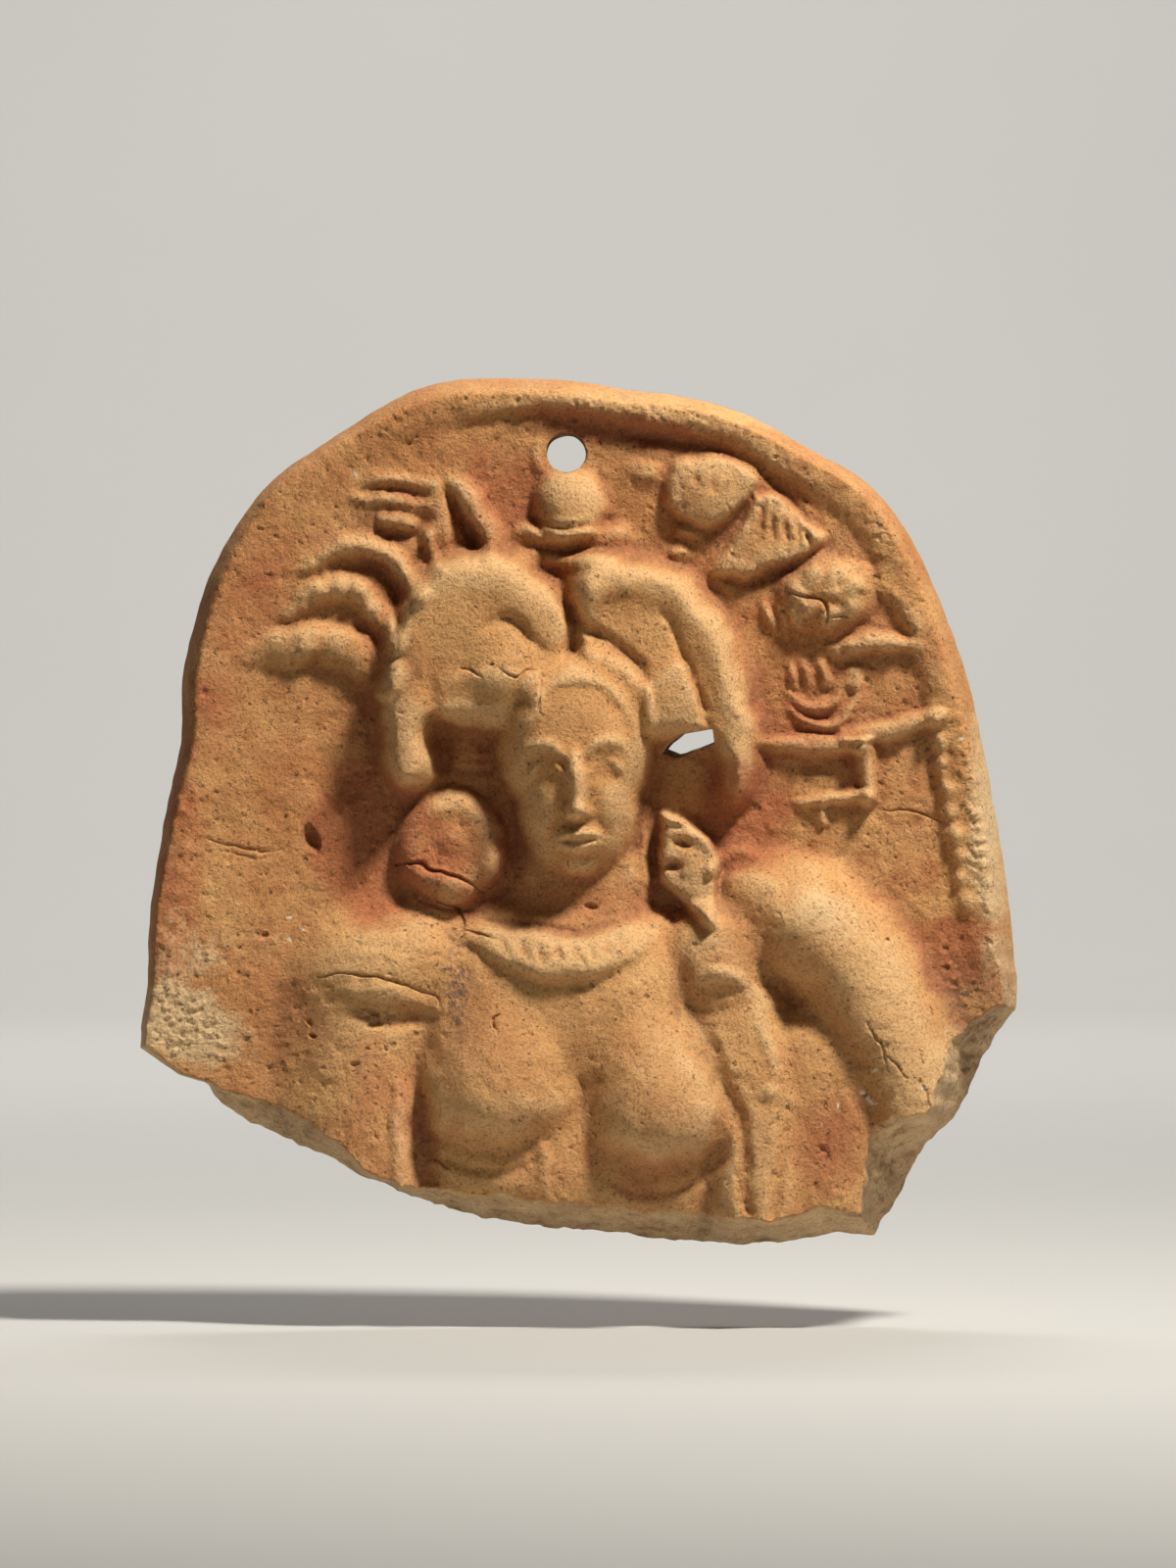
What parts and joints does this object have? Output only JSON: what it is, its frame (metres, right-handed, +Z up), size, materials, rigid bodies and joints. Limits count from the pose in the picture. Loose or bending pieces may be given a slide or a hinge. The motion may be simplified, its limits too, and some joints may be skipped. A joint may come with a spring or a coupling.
{
  "type": "relief plaque",
  "caption": "Arched terracotta relief plaque, broken off below: a half-length woman in a two-lobed headdress with fanned hairpins, a raised rim, a hanging hole and a flat back.",
  "frame": {"origin": "centre of the hanging hole, in the plane of the flat back that lies against the wall", "axes": "+Z up the wall, +X to the viewer's right, +Y into the wall; the relief faces -Y"},
  "size_m": [0.1307, 0.0252, 0.1288],
  "materials": {
    "terracotta": "matte, worn, ochre over red clay"
  },
  "bodies": {
    "root": {"terracotta_plaque": "terracotta"}
  },
  "joints": []
}
